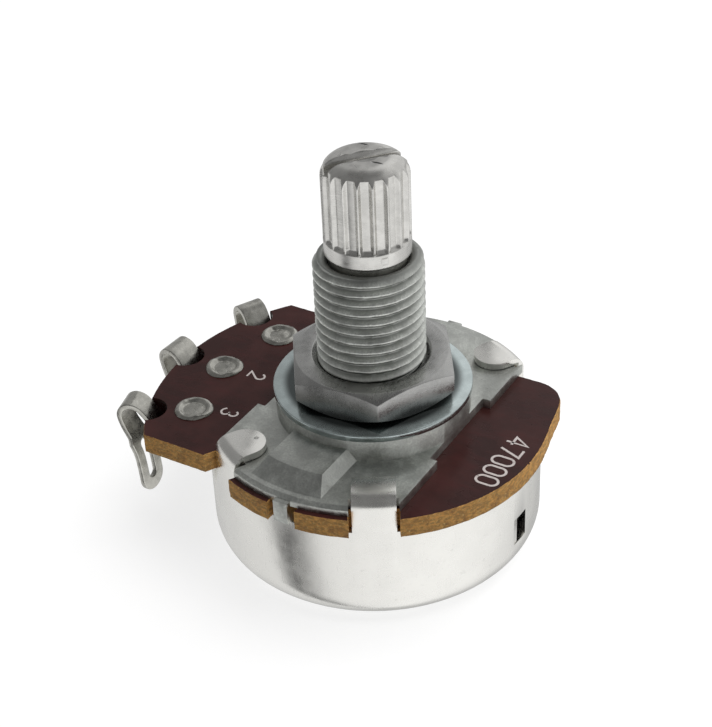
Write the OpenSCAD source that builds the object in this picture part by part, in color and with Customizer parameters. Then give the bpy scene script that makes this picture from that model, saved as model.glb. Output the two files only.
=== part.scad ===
// Rotary potentiometer with a threaded bush, a splined shaft and three solder lugs.
// The shaft runs along Z, z = 0 is the flat back of the cover and the lugs point to -Y.
// Millimetres.

/* [Cover] */
// Outside diameter of the drawn cover
cover_d = 24; // [23:0.5:26]
// Height of the cover from its back to its rim
cover_h = 8.3; // [7.8:0.1:11]
// Thickness of the sheet that the cover is drawn from
sheet_t = 0.5; // [0.4:0.05:0.6]
// Outside radius round the edge of the back
cover_round = 2.5; // [1:0.25:2.75]
// Width of the folded tabs
tab_w = 3; // [2.4:0.1:3.4]
// Angle between a tab and the X axis
tab_angle = 30; // [28:0.5:31]
// Reach of the two square tabs over the plate
square_tab = 2.6; // [1.8:0.1:3]
// Gap between the end of a rounded tab and the boss
round_tab_gap = 1.85; // [0.9:0.05:2.4]
// Outside radius of the bend in a tab
tab_bend = 1; // [0.65:0.05:1.1]
// Depth of the gap in the rim that the lugs pass through
lug_gap_h = 1.6; // [1.2:0.1:2]

/* [Rotation stop] */
// Angle of the window that the stop is pressed out of
stop_angle = 87.3; // [80:0.1:100]
// Width of the window
window_w = 1.6; // [1.2:0.1:2]
// Height of the window
window_h = 2.2; // [1.8:0.1:2.6]
// Height of the window's middle above the back
window_z = 4; // [3.6:0.1:4.4]
// Length of the tongue inside the wall
tongue_l = 2; // [1.2:0.1:2.2]
// Full turn of the shaft between its stops, in degrees
travel = 300; // [260:5:310]

/* [Plate and bush] */
// How far the plate reaches past the wall of the cover, on the radius
plate_over = 0.15; // [0:0.05:0.3]
// Thickness of the plate at its edge
plate_t = 0.7; // [0.6:0.05:1]
// Distance between the two straight sides of the plate
plate_across = 14.6; // [14.2:0.1:15]
// Width of the shallow step in each straight side
side_step_w = 8; // [6:0.5:9]
// Depth of the shallow step
side_step = 0.6; // [0.3:0.05:0.7]
// How far the raised boss stays inside the straight sides
boss_in = 0.35; // [0.3:0.05:0.6]
// Height of the boss above the plate
boss_h = 1.62; // [1.4:0.02:2]
// Height of the two arms beside the boss
arm_h = 0.9; // [0.6:0.05:1.2]
// Half width of an arm's top on the side of a rounded tab
arm_wide = 2.57; // [2.2:0.01:2.7]
// Half width of an arm's top on the side of a square tab
arm_narrow = 1.8; // [1.6:0.05:2.2]
// Distance from the axis to the end of an arm's flat top
arm_reach = 10.1; // [9.6:0.1:10.4]
// Length of the ramp at the end of an arm
arm_ramp = 1.4; // [1:0.1:1.6]
// Outside diameter of the thread on the bush
bush_d = 7.72; // [7.4:0.02:8]
// Height of the thread on the bush, on the radius
thread_h = 0.36; // [0.2:0.02:0.4]
// Distance from one crest of the thread to the next
thread_pitch = 0.75; // [0.6:0.05:1]
// Height of the bush above the boss
bush_h = 10.7; // [8:0.1:12]
// Chamfer at the end of the bush
bush_chamfer = 0.4; // [0.3:0.05:0.5]
// Width of the keys that hold the plate in the board
key_w = 1.1; // [0.9:0.1:1.4]

/* [Washer and nut] */
// How far the washer reaches past the boss, on the radius
washer_over = 0.13; // [0:0.01:0.35]
// Thickness of the washer
washer_t = 0.5; // [0.4:0.05:0.8]
// Size of the nut across its flats
nut_across = 11; // [10:0.1:12]
// Thickness of the nut
nut_t = 2; // [1.8:0.1:2.4]

/* [Board] */
// How far the board reaches past the wall of the cover, on the radius
board_over = 0.6; // [0.5:0.05:0.8]
// Thickness of the board
board_t = 1.5; // [1.4:0.1:1.8]
// Width of the board beside the lugs
board_w = 19.6; // [19:0.2:20.4]
// Half width of the board at its corner opposite the lugs
ear_x = 8.7; // [8.2:0.1:8.9]
// Rounding of that corner
ear_round = 2.5; // [1.6:0.1:2.8]
// Distance from the X axis to the middle of that rounding
ear_y = 9.05; // [8.8:0.05:9.4]
// Diameter of the hole in the board's middle
board_hole = 9.6; // [9.4:0.1:9.8]
// Thickness of the printed films under the board
film_t = 0.1; // [0.05:0.01:0.12]
// Width of the bare board between the hole and the collector ring
film_edge = 0.3; // [0.2:0.05:0.4]
// Width of the collector ring
collector_w = 1.6; // [1.2:0.1:1.6]
// Gap between the collector ring and the resistive track
film_gap = 0.9; // [0.7:0.05:1.1]
// Width of the resistive track
track_w = 2; // [1.6:0.1:2.2]
// Angle left open between the ends of the track
track_open = 76; // [70:1:84]

/* [Lugs and rivets] */
// How far the lugs and the board round them are set off towards +X
lug_shift = 0.4; // [-0.5:0.1:0.5]
// Angle between one lug and the next
lug_step = 25.7; // [25:0.1:26.4]
// Width of a lug
lug_w = 2.2; // [2:0.1:2.6]
// Thickness of a lug
lug_t = 0.4; // [0.35:0.05:0.45]
// Radius of the rivets' circle
rivet_r = 12.7; // [12.6:0.1:13.1]
// Distance from a rivet's middle to the notch that its lug rises through
notch_out = 2.2; // [1.9:0.1:2.4]
// Depth of that notch in the edge of the board
notch_depth = 1.4; // [1.1:0.1:1.5]
// Distance from a rivet's middle to the inner end of its lug
lug_in = 1.55; // [1.5:0.05:1.6]
// Diameter of a rivet's head
rivet_head = 2.9; // [2.6:0.1:3.1]
// Diameter of a rivet's shank
rivet_shank = 1.4; // [1.2:0.1:1.6]
// Height of a rivet's head
rivet_h = 0.25; // [0.2:0.05:0.5]
// Width of the eyelet
eyelet_w = 2.5; // [2.4:0.1:3]
// Width of the slot in the eyelet
eyelet_slot = 0.8; // [0.7:0.1:1.1]
// Height of the eyelet's lower end above the back of the cover
eyelet_z = 2.3; // [1:0.1:3]
// Length of the neck between the curl and the eyelet
neck_l = 2.6; // [2:0.1:3]
// Lean of the neck towards the cover
neck_lean = 14; // [8:1:16]
// Twist of the third eyelet about its length
third_twist = 30; // [0:1:34]

/* [Shaft] */
// Diameter of the shaft's grip
shaft_d = 6; // [5.9:0.05:6.2]
// Length of the shaft above the boss
shaft_len = 18.03; // [15:0.01:30]
// Rounding of the shaft's end
shaft_round = 1.1; // [0.6:0.05:1.3]
// Number of splines
splines = 18; // [18:1:20]
// Depth of the grooves between the splines
groove = 0.26; // [0.15:0.01:0.3]
// Length of the plain collar below the grooves
collar_l = 1.2; // [0.8:0.1:2]
// Gap between the collar and the bush
collar_gap = 0.25; // [0.15:0.05:0.4]
// Width of the screwdriver slot
slot_w = 1; // [0.8:0.05:1.2]
// Depth of the screwdriver slot
slot_depth = 0.9; // [0.6:0.05:1]
// Direction of the screwdriver slot
slot_angle = 132; // [0:1:180]
// Diameter of the shaft inside the bush
journal_d = 5.6; // [5.4:0.05:5.7]
// Clearance between the shaft and the bush, on the radius
journal_gap = 0.05; // [0.03:0.01:0.08]

/* [Rotor] */
// Diameter of the wiper carrier
carrier_d = 19; // [18.4:0.1:19.4]
// Thickness of the wiper carrier
carrier_t = 1.6; // [1.2:0.1:1.6]
// Height of the carrier's underside above the back of the cover
carrier_z = 4.4; // [4.2:0.1:4.6]
// Distance between the two flats of the shaft in the carrier
flats = 4.2; // [3.8:0.1:4.4]
// Thickness of the stop plate
stop_t = 0.8; // [0.5:0.1:0.9]
// Diameter of the stop plate without its arm
stop_d = 14; // [13:0.5:15]
// Thickness of the wiper's spring sheet
wiper_t = 0.3; // [0.2:0.05:0.3]
// Diameter of the middle of that sheet
wiper_hub_d = 9; // [8.8:0.1:9.4]
// Length of the wiper's finger on the track
track_finger = 4.3; // [3.8:0.1:4.6]
// Length of the wiper's finger on the collector ring
ring_finger = 3.3; // [3:0.1:3.6]
// Thickness of the retaining clip
clip_t = 0.5; // [0.4:0.05:0.55]
// Room round the retaining clip in the hole of the board, on the radius
clip_room = 0.6; // [0.5:0.05:0.8]
// Thickness of the thrust washer
thrust_t = 0.2; // [0.15:0.05:0.25]

/* [Hidden] */

$fn = 96;
// Small overlap that makes cuts clean
cut = 0.1;
// Clearance between fixed pieces round their edges
edge_gap = 0.05;
// Clearance along Z between pieces that turn on each other
turn_gap = 0.05;
// Clearance beside a tab in the board and the plate
tab_gap = 0.2;

cover_r = cover_d / 2;
inner_r = cover_r - sheet_t;
board_z = cover_h;
board_top = board_z + board_t;
plate_z = board_top;
plate_top = plate_z + plate_t;
boss_top = plate_top + boss_h;
bush_top = boss_top + bush_h;
shaft_top = boss_top + shaft_len;
washer_z = boss_top;
nut_z = washer_z + washer_t;
nut_top = nut_z + nut_t;
board_r = cover_r + board_over;
plate_r = cover_r + plate_over;
boss_d = plate_across - 2 * boss_in;
thread_root = bush_d - 2 * thread_h;
thread_z = bush_top - bush_chamfer;
thread_turns = floor((thread_z - nut_top - 0.1) / thread_pitch);
washer_d = boss_d + 2 * washer_over;
round_tab = cover_r - boss_d / 2 - round_tab_gap;
// The corner runs into the board's round edge along a line that touches both
ear_mid = [ear_round - ear_x, ear_y];
ear_turn = acos(min(1, (board_r - ear_round) / norm(ear_mid)));
ear_angle = atan2(ear_mid[1], ear_mid[0]) - ear_turn;
// The plate's seats for the tabs stay clear of the inside of their bends
bend_in = tab_bend - sheet_t;
seat_r = min(inner_r, cover_r - tab_bend + sqrt(edge_gap * max(0, 2 * bend_in - edge_gap)));
film_z = board_z - film_t;
collector_r = board_hole / 2 + film_edge + collector_w / 2;
track_r = collector_r + collector_w / 2 + film_gap + track_w / 2;
clip_d = board_hole - 2 * clip_room;
tab_angles = [tab_angle, -tab_angle, 180 - tab_angle, 180 + tab_angle];
lug_angles = [-90 - lug_step, -90, -90 + lug_step];
journal_r = journal_d / 2;
bore_r = journal_r + journal_gap;
neck_top = bush_top + collar_gap;
groove_z = neck_top + collar_l;
thrust_z = plate_z - thrust_t;
clip_z = thrust_z - turn_gap - clip_t;
clip_groove_r = journal_r - 0.5;
wiper_z = carrier_z + carrier_t;
shoulder_z = wiper_z + wiper_t;
stop_z = carrier_z - stop_t;
head_h = 0.5;
flat_gap = 0.03;
// The stop's tongue stands beside the window's edge nearer to +X, so it fills
// the angles from tongue_low to tongue_high in the way of the stop plate's arm
tongue_tip = inner_r - tongue_l;
stop_reach = inner_r - 0.6;
tongue_low = stop_angle - atan(window_w / 2 / tongue_tip);
tongue_high = stop_angle - atan((window_w / 2 - sheet_t) / stop_reach);
tongue_angle = (tongue_low + tongue_high) / 2;
stop_half = 180 - travel / 2 - (tongue_high - tongue_low) / 2 - 0.5;
// The flats of the shaft lie along the line to the tongue
flat_angle = tongue_angle;
// The lug rises through a notch and curls over the edge of the board
notch_r = rivet_r + notch_out;
board_reach = notch_r + notch_depth;
notch_w = lug_w + 0.5;
base_in = rivet_r - lug_in;
base_z = film_z - lug_t;
rise_in = notch_r + 0.65;
curl_r = 0.75;
curl_mid = notch_r + 2.35;
curl_z = board_top - 0.3;
neck_end_r = curl_mid + curl_r - neck_l * tan(neck_lean);
neck_end_z = curl_z - neck_l;

// Repeats its children at each listed angle about Z
module at_angles(list) {
    for (a = list) rotate([0, 0, a]) children();
}

// A ring from radius r0 to r1, h tall
module ring(r0, r1, h) {
    difference() {
        cylinder(r = r1, h = h);
        translate([0, 0, -cut]) cylinder(r = r0, h = h + 2 * cut);
    }
}

// Outline of a wedge from angle a0 to a1, out to radius r, for less than half a turn
module wedge(r, a0, a1) {
    far = r / cos((a1 - a0) / 2) + 1;
    intersection() {
        circle(r = r);
        polygon([[0, 0], far * [cos(a0), sin(a0)],
            far * [cos((a0 + a1) / 2), sin((a0 + a1) / 2)], far * [cos(a1), sin(a1)]]);
    }
}

// Half section of a cup of radius r with rounded bottom edge of radius f
module cup_section(r, f, h) {
    square([r - f, h]);
    translate([0, f]) square([r, h - f]);
    translate([r - f, f]) intersection() {
        circle(r = f);
        translate([0, -f]) square(f);
    }
}

// Half section of the cover: a cup whose wall goes on as a tab, round the bend and inwards
module cover_section() {
    bend_z = plate_top + edge_gap + sheet_t - tab_bend;
    reach = max(square_tab, round_tab);
    difference() {
        cup_section(cover_r, cover_round, bend_z);
        translate([0, sheet_t]) cup_section(inner_r, cover_round - sheet_t, bend_z);
    }
    translate([cover_r - reach - 1, plate_top + edge_gap]) square([reach + 1 - tab_bend, sheet_t]);
    translate([cover_r - tab_bend, bend_z]) difference() {
        intersection() {
            circle(r = tab_bend);
            square(tab_bend);
        }
        circle(r = tab_bend - sheet_t);
    }
}

// Outline of one tab from above, pointing along +X; a rounded end is half a circle
module tab_outline(reach, rounded) {
    end_r = rounded ? tab_w / 2 : 0;
    translate([cover_r - reach + end_r, -tab_w / 2]) square([reach - end_r + 1, tab_w]);
    if (rounded) translate([cover_r - reach + end_r, 0]) circle(r = end_r);
}

// Room in the outline of the board or the plate for a tab whose inner face is at radius r
module tab_room(r) {
    // That face is curved, and its corners are nearest to the axis
    corner_x = sqrt(r * r - tab_w * tab_w / 4);
    at_angles(tab_angles) translate([corner_x - edge_gap, -tab_w / 2 - tab_gap])
        square([5, tab_w + 2 * tab_gap]);
}

module cover() {
    color("gainsboro") {
        difference() {
            rotate_extrude() cover_section();
            // Above the rim only the tabs are left
            translate([0, 0, cover_h]) linear_extrude(plate_top) difference() {
                circle(r = cover_r + 3);
                at_angles([tab_angle, 180 + tab_angle]) tab_outline(square_tab, false);
                at_angles([-tab_angle, 180 - tab_angle]) tab_outline(round_tab, true);
            }
            // Gap in the rim where the lugs' ends lie
            translate([0, 0, cover_h - lug_gap_h]) linear_extrude(lug_gap_h + cut)
                wedge(cover_r + 1, -90 - lug_step - 13, -90 + lug_step + 13);
            // Window of the rotation stop
            rotate([0, 0, stop_angle]) translate([inner_r - 1, -window_w / 2, window_z - window_h / 2])
                cube([3, window_w, window_h]);
        }
        // Tongue pressed in from the window, and its root in the wall
        rotate([0, 0, stop_angle]) translate([0, -window_w / 2, window_z - window_h / 2]) {
            translate([tongue_tip, 0, 0]) cube([tongue_l + sheet_t * 0.8, sheet_t, window_h]);
            translate([inner_r, -cut, 0]) cube([sheet_t * 0.8, sheet_t, window_h]);
        }
    }
}

// Outline of the plate, with room for the tabs
module plate_outline(r) {
    difference() {
        intersection() {
            circle(r = r);
            square([2 * r + 2, plate_across], center = true);
        }
        for (s = [-1, 1]) translate([-side_step_w / 2, s < 0 ? -plate_across / 2 - cut
                : plate_across / 2 - side_step]) square([side_step_w, side_step + cut]);
        tab_room(seat_r);
    }
}

// Raised arm from the boss towards +X, with a conical ramp at its end and sloping sides
module arm() {
    side = arm_h * 0.7;
    intersection() {
        cylinder(r1 = arm_reach + arm_ramp, r2 = arm_reach, h = arm_h);
        rotate([90, 0, 90]) linear_extrude(plate_r)
            polygon([[-arm_wide - side, 0], [arm_narrow + side, 0],
                [arm_narrow, arm_h], [-arm_wide, arm_h]]);
    }
}

module bushing_plate() {
    color("darkgray") difference() {
        union() {
            translate([0, 0, plate_z]) linear_extrude(plate_t - 0.25) plate_outline(plate_r);
            // The upper edge is a little smaller, as a chamfer would leave it
            translate([0, 0, plate_z]) intersection() {
                linear_extrude(plate_t) plate_outline(plate_r);
                cylinder(r1 = plate_r + plate_t - 0.25, r2 = plate_r - 0.25, h = plate_t);
            }
            translate([0, 0, plate_top]) intersection() {
                cylinder(d = boss_d, h = boss_h);
                linear_extrude(boss_h) plate_outline(plate_r);
            }
            translate([0, 0, plate_top]) {
                arm();
                rotate([0, 0, 180]) arm();
            }
            // The bush is as thick as the thread's root inside the nut, and as its crests above
            translate([0, 0, boss_top - cut]) cylinder(d = thread_root, h = nut_top - boss_top + 2 * cut);
            translate([0, 0, nut_top]) cylinder(d = bush_d, h = thread_z - nut_top);
            translate([0, 0, thread_z])
                cylinder(r1 = bush_d / 2, r2 = bush_d / 2 - bush_chamfer, h = bush_chamfer);
            // Keys that drop into the notches of the board
            for (a = [0, 180]) rotate([0, 0, a])
                translate([plate_r - 0.6, -key_w / 2, board_z + 0.2])
                    cube([0.6 + board_over - plate_over - edge_gap, key_w, board_t + plate_t - 0.5]);
        }
        // The thread above the nut, drawn as one groove for each turn
        for (i = [0 : thread_turns - 1]) translate([0, 0, thread_z - (i + 0.5) * thread_pitch])
            rotate_extrude() polygon([[thread_root / 2, 0],
                [bush_d / 2 + cut, -0.43 * thread_pitch], [bush_d / 2 + cut, 0.43 * thread_pitch]]);
        translate([0, 0, plate_z - cut]) cylinder(r = bore_r, h = bush_top);
        // Countersink round the mouth of the bore
        translate([0, 0, bush_top - 0.5])
            cylinder(r1 = bore_r, r2 = bore_r + 0.55, h = 0.5);
        translate([0, 0, bush_top - 0.01]) cylinder(r = bore_r + 0.55, h = 1);
    }
}

// Outline of the board
module board_outline() {
    difference() {
        union() {
            circle(r = board_r);
            translate([lug_shift, 0]) intersection() {
                translate([-board_w / 2, -board_reach]) square([board_w, board_reach]);
                circle(r = board_reach);
            }
            polygon([[0, 0], board_r * [cos(ear_angle), sin(ear_angle)],
                ear_mid + ear_round * [cos(ear_angle), sin(ear_angle)], ear_mid,
                [-ear_x, ear_y], [-ear_x, 0]]);
            translate(ear_mid) circle(r = ear_round);
        }
        tab_room(inner_r);
        // Straight side past the far tab
        translate([-ear_x - 6, plate_across / 2 - 1]) square([6, 8]);
        // Notches with round ends, which the lugs rise through
        translate([lug_shift, 0]) at_angles(lug_angles) translate([notch_r + notch_w / 2, 0]) {
            circle(d = notch_w);
            translate([0, -notch_w / 2]) square([3, notch_w]);
        }
        at_angles([0, 180]) translate([plate_r - 0.6 - edge_gap, -key_w / 2 - 0.5])
            square([3, key_w + 1]);
        circle(d = board_hole);
        translate([lug_shift, 0]) at_angles(lug_angles) translate([rivet_r, 0]) circle(d = rivet_shank);
    }
}

module board() {
    color([0.2, 0.07, 0.05]) translate([0, 0, board_z]) linear_extrude(board_t) board_outline();
}

// Horseshoe of resistive film, open towards the lugs
module resistive_track() {
    color([0.08, 0.08, 0.08]) translate([0, 0, film_z]) difference() {
        ring(track_r - track_w / 2, track_r + track_w / 2, film_t);
        translate([0, 0, -cut]) linear_extrude(film_t + 2 * cut)
            wedge(track_r + track_w, -90 - track_open / 2, -90 + track_open / 2);
    }
}

// Ring that the wiper's inner finger rubs on, with its lead to the middle lug
module collector_ring() {
    color("silver") translate([0, 0, film_z]) difference() {
        union() {
            ring(collector_r - collector_w / 2, collector_r + collector_w / 2, film_t);
            translate([lug_shift - lug_w / 2, -rivet_r - 1.4])
                cube([lug_w, rivet_r + 1.4 - collector_r, film_t]);
        }
        translate([lug_shift, -rivet_r, -cut]) cylinder(d = rivet_shank, h = 1);
    }
}

// Printed pad from one end of the track to the lug on its side; side is -1 or 1
module track_pad(side) {
    lug_a = -90 + side * lug_step;
    open_a = -90 + side * (track_open / 2);
    from = (track_r) * [cos(open_a), sin(open_a)];
    to = (rivet_r - 1) * [cos(lug_a), sin(lug_a)] + [lug_shift, 0];
    run = to - from;
    color("silver") translate([0, 0, film_z]) linear_extrude(film_t) difference() {
        union() {
            translate(from) rotate(atan2(run[1], run[0])) translate([0, -0.8])
                square([norm(run), 1.6]);
            translate([lug_shift, 0]) rotate(lug_a) translate([rivet_r - 1.5, -lug_w / 2])
                square([2.9, lug_w]);
        }
        // The track itself is printed first
        difference() {
            circle(r = track_r + track_w / 2);
            wedge(track_r + track_w, -90 - track_open / 2, -90 + track_open / 2);
        }
        translate([lug_shift, 0]) rotate(lug_a) translate([rivet_r, 0]) circle(d = rivet_shank);
    }
}

module track_pad_1() { track_pad(-1); }
module track_pad_3() { track_pad(1); }

// A bar in the plane of its outline, from point a to point b, with round ends
module bar(a, b) {
    d = b - a;
    translate(a) {
        rotate(atan2(d[1], d[0])) translate([0, -lug_t / 2]) square([norm(d), lug_t]);
        circle(d = lug_t, $fn = 24);
    }
    translate(b) circle(d = lug_t, $fn = 24);
}

// Side outline of a lug: x is the distance from the axis, y the height
module lug_side() {
    base_y = base_z + lug_t / 2;
    rise_x = rise_in + lug_t / 2;
    translate([base_in, base_z]) square([rise_x - base_in, lug_t]);
    bar([rise_x, base_y], [curl_mid - curl_r, curl_z]);
    translate([curl_mid, curl_z]) intersection() {
        difference() {
            circle(r = curl_r + lug_t / 2);
            circle(r = curl_r - lug_t / 2);
        }
        translate([-3, 0]) square([6, 3]);
    }
    bar([curl_mid + curl_r, curl_z], [neck_end_r, neck_end_z]);
}

// The flat end of a lug with its slot, hanging from the end of the neck
module eyelet(twist) {
    lap = 0.3;
    len = neck_end_z - eyelet_z;
    low = -len + eyelet_w / 2;
    slot_low = low + 0.35;
    slot_high = -eyelet_slot / 2 - 0.3;
    translate([neck_end_r, 0, neck_end_z]) rotate([0, 0, -twist]) rotate([90, 0, 90])
        translate([0, 0, -lug_t / 2]) linear_extrude(lug_t) difference() {
            union() {
                translate([-lug_w / 2, 0]) square([lug_w, lap]);
                translate([-eyelet_w / 2, low]) square([eyelet_w, -low]);
                translate([0, low]) circle(d = eyelet_w);
            }
            translate([-eyelet_slot / 2, slot_low]) square([eyelet_slot, slot_high - slot_low]);
            translate([0, slot_low]) circle(d = eyelet_slot);
            translate([0, slot_high]) circle(d = eyelet_slot);
        }
}

// One lug; i counts from 0 and twist turns its eyelet
module lug(i, twist) {
    color("silver") translate([lug_shift, 0, 0]) rotate([0, 0, lug_angles[i]]) {
        difference() {
            rotate([90, 0, 0]) translate([0, 0, -lug_w / 2]) linear_extrude(lug_w) lug_side();
            translate([rivet_r, 0, base_z - 1]) cylinder(d = rivet_shank, h = 2);
        }
        eyelet(twist);
    }
}

module lug_1() { lug(0, 0); }
module lug_2() { lug(1, 0); }
module lug_3() { lug(2, third_twist); }

// One rivet through the board, the printed pad and the lug
module rivet(i) {
    tail_h = 0.35;
    color("silver") translate([lug_shift, 0, 0]) rotate([0, 0, lug_angles[i]])
            translate([rivet_r, 0, 0]) difference() {
        union() {
            translate([0, 0, board_top]) cylinder(d = rivet_head, h = rivet_h * 0.4);
            translate([0, 0, board_top + rivet_h * 0.4])
                cylinder(d1 = rivet_head, d2 = rivet_head - 0.7, h = rivet_h * 0.6);
            translate([0, 0, base_z - tail_h]) cylinder(d = rivet_shank, h = board_top - base_z + tail_h);
            translate([0, 0, base_z - tail_h])
                cylinder(d1 = rivet_shank + 0.4, d2 = rivet_shank + 0.8, h = tail_h);
        }
        translate([0, 0, board_top + rivet_h * 0.5])
            cylinder(d1 = 0.9, d2 = 1.5, h = rivet_h * 0.5 + 0.01);
    }
}

module rivet_1() { rivet(0); }
module rivet_2() { rivet(1); }
module rivet_3() { rivet(2); }

module washer() {
    color("lightsteelblue") translate([0, 0, washer_z])
        ring(bush_d / 2 + 0.15, washer_d / 2, washer_t);
}

module nut() {
    corner = nut_across / sqrt(3);
    mouth_d = bush_d + 0.72;
    mouth_h = min((mouth_d - thread_root) / 2, nut_t * 0.4);
    color("lightslategray") translate([0, 0, nut_z]) difference() {
        intersection() {
            rotate([0, 0, 30]) cylinder(r = corner, h = nut_t, $fn = 6);
            // Both faces are chamfered to a circle just inside the flats
            union() {
                cylinder(r1 = nut_across / 2 - 0.1, r2 = nut_across / 2 - 0.1 + nut_t / 2 * 1.9,
                    h = nut_t / 2);
                translate([0, 0, nut_t / 2]) cylinder(r1 = nut_across / 2 - 0.1 + nut_t / 2 * 1.9,
                    r2 = nut_across / 2 - 0.1, h = nut_t / 2);
            }
        }
        translate([0, 0, -cut]) cylinder(d = thread_root, h = nut_t + 2 * cut);
        // The bore's mouths are chamfered to a little more than the thread
        translate([0, 0, nut_t - mouth_h]) cylinder(d1 = thread_root, d2 = mouth_d, h = mouth_h + 0.001);
        translate([0, 0, -0.001]) cylinder(d1 = mouth_d, d2 = thread_root, h = mouth_h);
    }
}

module thrust_washer() {
    color("goldenrod") translate([0, 0, thrust_z]) ring(journal_r + 0.15, clip_d / 2, thrust_t);
}

// Outline of the shaft where it is flattened, or of the hole for it with a gap
module flatted(gap) {
    intersection() {
        circle(r = journal_r + gap);
        square([2 * journal_r + 1, flats + 2 * gap], center = true);
    }
}

// Half section of a pin of radius r whose upper end is rounded with radius f
module grip_section(r, f, h) {
    square([r - f, h]);
    square([r, h - f]);
    translate([r - f, h - f]) intersection() {
        circle(r = f);
        square(f);
    }
}

module shaft() {
    grip_r = shaft_d / 2;
    groove_top = clip_z + clip_t + turn_gap;
    color("whitesmoke") difference() {
        union() {
            // Grip with its rounded end
            translate([0, 0, neck_top]) rotate_extrude()
                grip_section(grip_r, shaft_round, shaft_top - neck_top);
            // Journal in the bush, with the clip's groove below it
            translate([0, 0, groove_top]) cylinder(r = journal_r, h = neck_top - groove_top + cut);
            translate([0, 0, shoulder_z]) cylinder(r = clip_groove_r, h = groove_top - shoulder_z + cut);
            translate([0, 0, shoulder_z]) cylinder(r = journal_r, h = clip_z - turn_gap - shoulder_z);
            translate([0, 0, stop_z]) linear_extrude(shoulder_z - stop_z + cut)
                rotate(flat_angle) flatted(0);
            translate([0, 0, stop_z - head_h]) cylinder(r = journal_r + 0.2, h = head_h);
        }
        // Grooves between the splines
        for (k = [0 : splines - 1]) rotate([0, 0, (k + 0.5) * 360 / splines])
            translate([0, 0, groove_z]) linear_extrude(shaft_top) {
                open_w = 0.142 * shaft_d * 18 / splines;
                polygon([[grip_r - groove, -open_w * 0.3], [grip_r + 0.3, -open_w * 0.78],
                    [grip_r + 0.3, open_w * 0.78], [grip_r - groove, open_w * 0.3]]);
            }
        rotate([0, 0, slot_angle]) translate([-shaft_d, -slot_w / 2, shaft_top - slot_depth])
            cube([2 * shaft_d, slot_w, slot_depth + 1]);
    }
}

// Open clip in the shaft's groove
module retaining_clip() {
    color("dimgray") translate([0, 0, clip_z]) linear_extrude(clip_t) difference() {
        circle(d = clip_d);
        circle(r = clip_groove_r + 0.05);
        translate([0, -1.6]) square([clip_d, 3.2]);
    }
}

module wiper_carrier() {
    color([0.35, 0.2, 0.1]) translate([0, 0, carrier_z]) linear_extrude(carrier_t) difference() {
        circle(d = carrier_d);
        rotate(flat_angle) flatted(flat_gap);
    }
}

// One spring finger along a tangent, whose contact is len from its foot and at radius r
module finger(r, len) {
    reach = len - 0.3;
    rise = film_z - turn_gap - shoulder_z;
    tip_r = 0.35;
    translate([sqrt(r * r - len * len), 0, 0]) rotate([90, 0, 90]) translate([0, 0, -0.5])
        linear_extrude(1) {
            translate([-1, wiper_z]) square([1.6, wiper_t]);
            translate([0.4, wiper_z]) rotate(atan((rise - tip_r) / reach))
                square([reach / cos(atan((rise - tip_r) / reach)), wiper_t]);
            translate([len, film_z - turn_gap - tip_r]) circle(r = tip_r);
        }
}

// Spring sheet with one finger on the track and one on the collector ring
module wiper() {
    // At mid-travel the contact on the track is opposite the lugs
    turn = 90 - asin(track_finger / track_r);
    color("orange") difference() {
        rotate([0, 0, turn]) {
            translate([0, 0, wiper_z]) linear_extrude(wiper_t) {
                circle(d = wiper_hub_d);
                translate([0, -1.8]) square([track_r, 1.9]);
            }
            finger(track_r, track_finger);
            finger(collector_r, ring_finger);
        }
        translate([0, 0, wiper_z - cut]) linear_extrude(wiper_t + 2 * cut)
            rotate(flat_angle) flatted(flat_gap);
    }
}

// Sheet under the carrier whose wide arm meets the tongue of the cover
module stop_plate() {
    color("slategray") translate([0, 0, stop_z]) linear_extrude(stop_t) difference() {
        union() {
            circle(d = stop_d);
            rotate(tongue_angle + 180) wedge(stop_reach, -stop_half, stop_half);
        }
        rotate(flat_angle) flatted(flat_gap);
    }
}

cover();
bushing_plate();
board();
resistive_track();
collector_ring();
track_pad_1();
track_pad_3();
lug_1();
lug_2();
lug_3();
rivet_1();
rivet_2();
rivet_3();
washer();
nut();
thrust_washer();
shaft();
retaining_clip();
wiper_carrier();
wiper();
stop_plate();
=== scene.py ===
"""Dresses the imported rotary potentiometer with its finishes, thread, print, crimps and studio."""

import math

import bmesh
import bpy
from mathutils import Matrix, Vector, noise


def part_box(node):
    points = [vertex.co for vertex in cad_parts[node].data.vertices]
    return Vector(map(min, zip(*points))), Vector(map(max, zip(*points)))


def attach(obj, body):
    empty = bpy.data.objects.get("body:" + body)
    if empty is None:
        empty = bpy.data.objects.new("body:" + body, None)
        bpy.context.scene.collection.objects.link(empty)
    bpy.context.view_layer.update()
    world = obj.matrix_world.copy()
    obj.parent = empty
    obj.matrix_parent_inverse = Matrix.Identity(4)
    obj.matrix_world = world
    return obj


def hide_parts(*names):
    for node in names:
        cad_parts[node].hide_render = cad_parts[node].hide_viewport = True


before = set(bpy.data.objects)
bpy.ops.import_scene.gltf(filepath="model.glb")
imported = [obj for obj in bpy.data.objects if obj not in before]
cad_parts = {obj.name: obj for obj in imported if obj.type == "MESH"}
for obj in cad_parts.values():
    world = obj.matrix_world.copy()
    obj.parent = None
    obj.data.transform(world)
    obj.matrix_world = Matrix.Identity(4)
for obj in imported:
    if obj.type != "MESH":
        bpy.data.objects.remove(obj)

bl_info = {
    "name": "Rotary Potentiometer",
    "version": (1, 0, 0),
    "blender": (4, 5, 0),
    "location": "3D View > Sidebar > Potentiometer",
    "description": "Dresses a rotary potentiometer with its finishes, thread, print and studio",
    "category": "Object",
}

MM = 0.001
ROOT = "root"
ROTOR = "rotor"
LENGTH = {"unit": "LENGTH", "precision": 5}
COLOUR = {"subtype": "COLOR", "size": 4}


# ---------------------------------------- settings


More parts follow.
